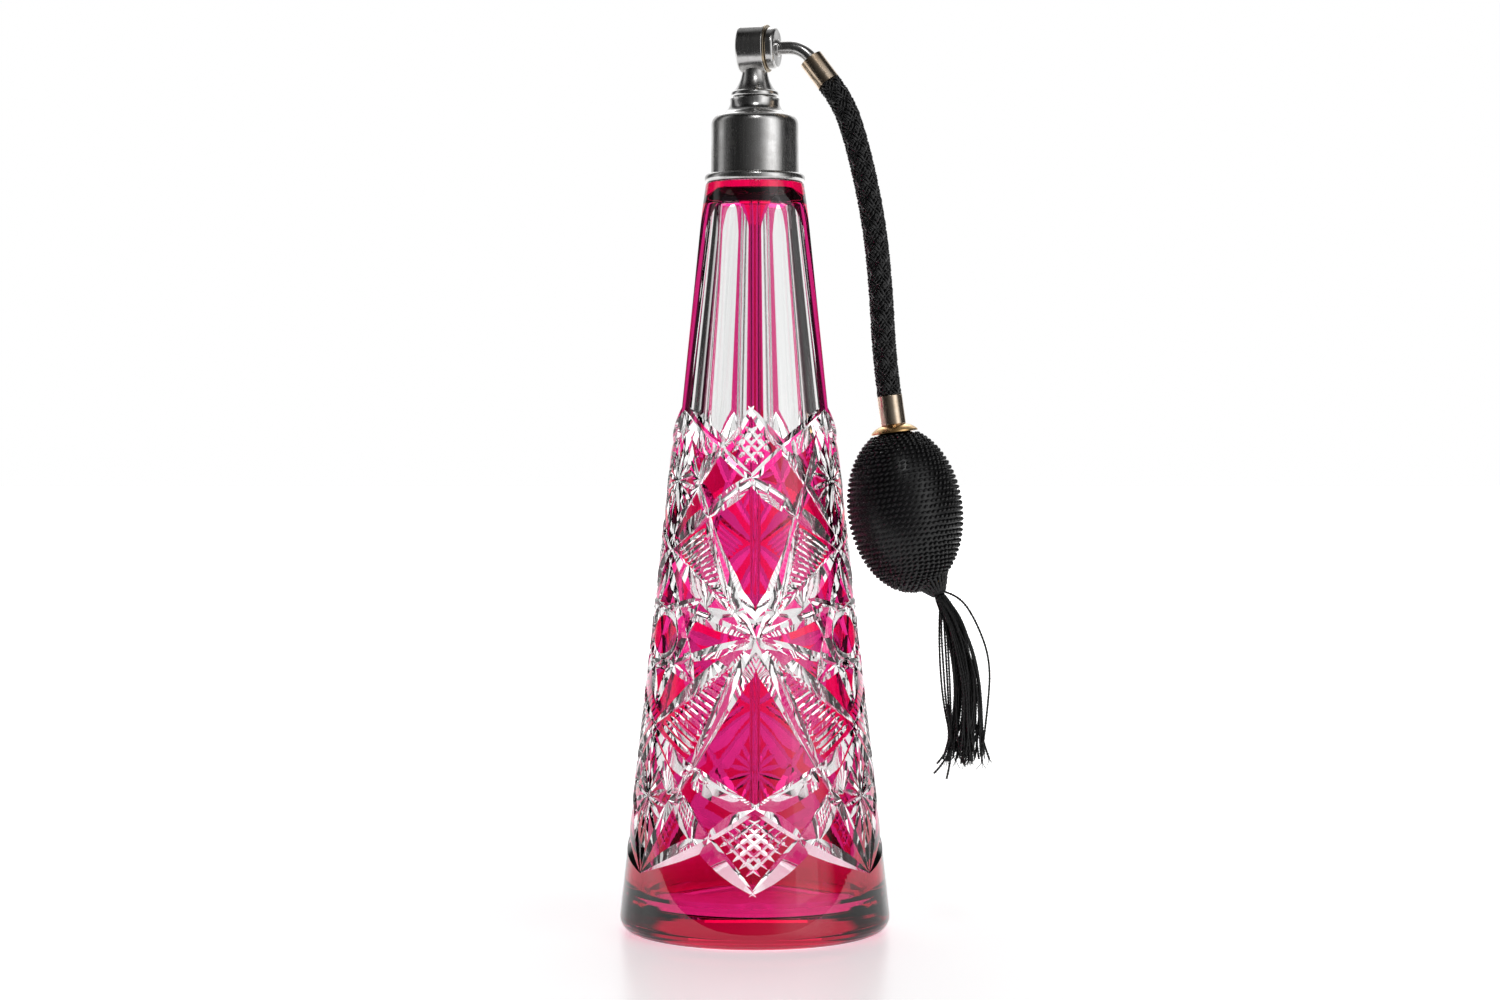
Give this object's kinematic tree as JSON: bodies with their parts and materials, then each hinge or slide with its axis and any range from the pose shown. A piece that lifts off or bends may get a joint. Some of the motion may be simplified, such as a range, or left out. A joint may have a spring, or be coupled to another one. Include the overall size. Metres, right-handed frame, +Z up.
{
  "type": "perfume atomiser",
  "caption": "Tall conical cut-crystal perfume bottle with a screw-on spray head, swivelling elbow, braided hose and netted squeeze bulb with a tassel.",
  "frame": {"origin": "centre of the flat base of the bottle, on its axis", "axes": "+Z up along the bottle, +X along the spray barrel towards the hose, so it sprays towards -X"},
  "size_m": [0.0981, 0.073, 0.244],
  "materials": {
    "cased_crystal": "cut lead crystal cased in pink",
    "clear_tube": "clear drawn tube",
    "plaster": "dry plaster",
    "silver_plate": "worn silver plate, satin",
    "gilt_brass": "polished gilt brass",
    "pale_gilt": "polished pale gilding, partly worn",
    "ball_steel": "polished steel",
    "washer_rubber": "red-brown rubber",
    "black_rubber": "matt black rubber",
    "black_silk": "black silk thread"
  },
  "bodies": {
    "bottle": {"crystal_bottle": "cased_crystal", "neck_cement": "plaster", "neck_ring": "silver_plate"},
    "seal": {"sealing_washer": "washer_rubber"},
    "spray_head": {"stem": "silver_plate", "collar_ring": "silver_plate", "head_pillar": "silver_plate", "spray_barrel": "silver_plate", "jet_insert": "gilt_brass", "feed_nozzle": "gilt_brass", "dip_tube": "clear_tube", "lip_ring": "gilt_brass"},
    "cap": {"screw_cap": "silver_plate"},
    "elbow": {"swivel_plug": "silver_plate", "elbow_tube": "silver_plate", "upper_ferrule": "pale_gilt", "rubber_tube": "black_rubber", "braided_sleeve": "black_silk"},
    "bulb": {"lower_ferrule": "pale_gilt", "bulb_cap": "gilt_brass", "outlet_valve_body": "gilt_brass", "outlet_valve_seat": "gilt_brass", "rubber_bulb": "black_rubber", "crochet_cover": "black_silk", "inlet_valve_body": "gilt_brass", "inlet_valve_cage": "gilt_brass"},
    "outlet_valve": {"outlet_ball": "ball_steel"},
    "inlet_valve": {"inlet_ball": "ball_steel"},
    "tassel": {"tassel_knot": "black_silk", "tassel_threads": "black_silk"}
  },
  "joints": [
    {"name": "lift_off", "type": "slide", "parent": "bottle", "child": "seal", "axis": [0, 0, 1], "range_m": [0, 0.225]},
    {"name": "thread_rise", "type": "slide", "parent": "seal", "child": "spray_head", "axis": [0, 0, 1], "range_m": [0, 0.0024]},
    {"name": "cap_turn", "type": "hinge", "parent": "spray_head", "child": "cap", "pos_m": [0, 0, 0.21], "axis": [0, 0, 1], "range_deg": [0, 720]},
    {"name": "elbow_swivel", "type": "hinge", "parent": "spray_head", "child": "elbow", "pos_m": [0.003, 0, 0.2376], "axis": [1, 0, 0], "range_deg": [-90, 90]},
    {"name": "hose_bend", "type": "hinge", "parent": "elbow", "child": "bulb", "pos_m": [0.0303, 0, 0.203], "axis": [0, -1, 0], "range_deg": [0, 60], "deforming": ["rubber_tube", "braided_sleeve"]},
    {"name": "bulb_squeeze", "type": "slide", "parent": "bulb", "child": "outlet_valve", "axis": [-0.1392, 0, 0.9903], "range_m": [0, 0.0008], "deforming": ["rubber_bulb", "crochet_cover"]},
    {"name": "inlet_valve_lift", "type": "slide", "parent": "bulb", "child": "inlet_valve", "axis": [-0.4695, 0, 0.8829], "range_m": [0, 0.0008]},
    {"name": "tassel_swing", "type": "hinge", "parent": "bulb", "child": "tassel", "pos_m": [0.05105, 0, 0.09069], "axis": [0, -1, 0], "range_deg": [-20, 45]}
  ],
  "couplings": [
    {"joint": "thread_rise", "follows": "cap_turn", "m_per_rad": 0.00019098}
  ]
}
